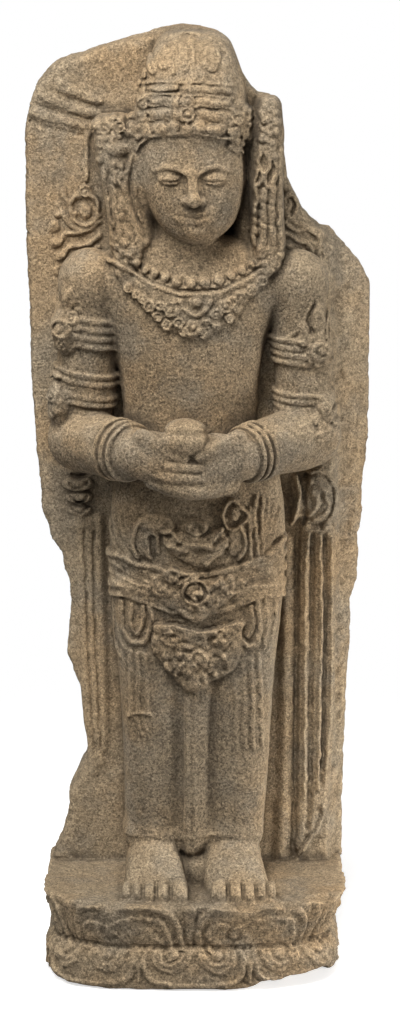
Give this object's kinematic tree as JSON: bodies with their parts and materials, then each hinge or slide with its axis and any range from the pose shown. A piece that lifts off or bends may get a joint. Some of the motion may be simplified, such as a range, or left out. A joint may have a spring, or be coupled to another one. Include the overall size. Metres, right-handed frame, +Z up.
{
  "type": "hindu deity stele",
  "caption": "Carved stone stele of a standing crowned deity holding a bud, on a double lotus base with a broken back slab.",
  "frame": {"origin": "on the base's flat underside, below the middle of the figure", "axes": "+Z up, the figure faces -Y, +X to the viewer's right"},
  "size_m": [0.348, 0.2294, 0.949],
  "materials": {
    "andesite": "rough, granular and weathered"
  },
  "bodies": {
    "root": {"stone_stele": "andesite"}
  },
  "joints": []
}
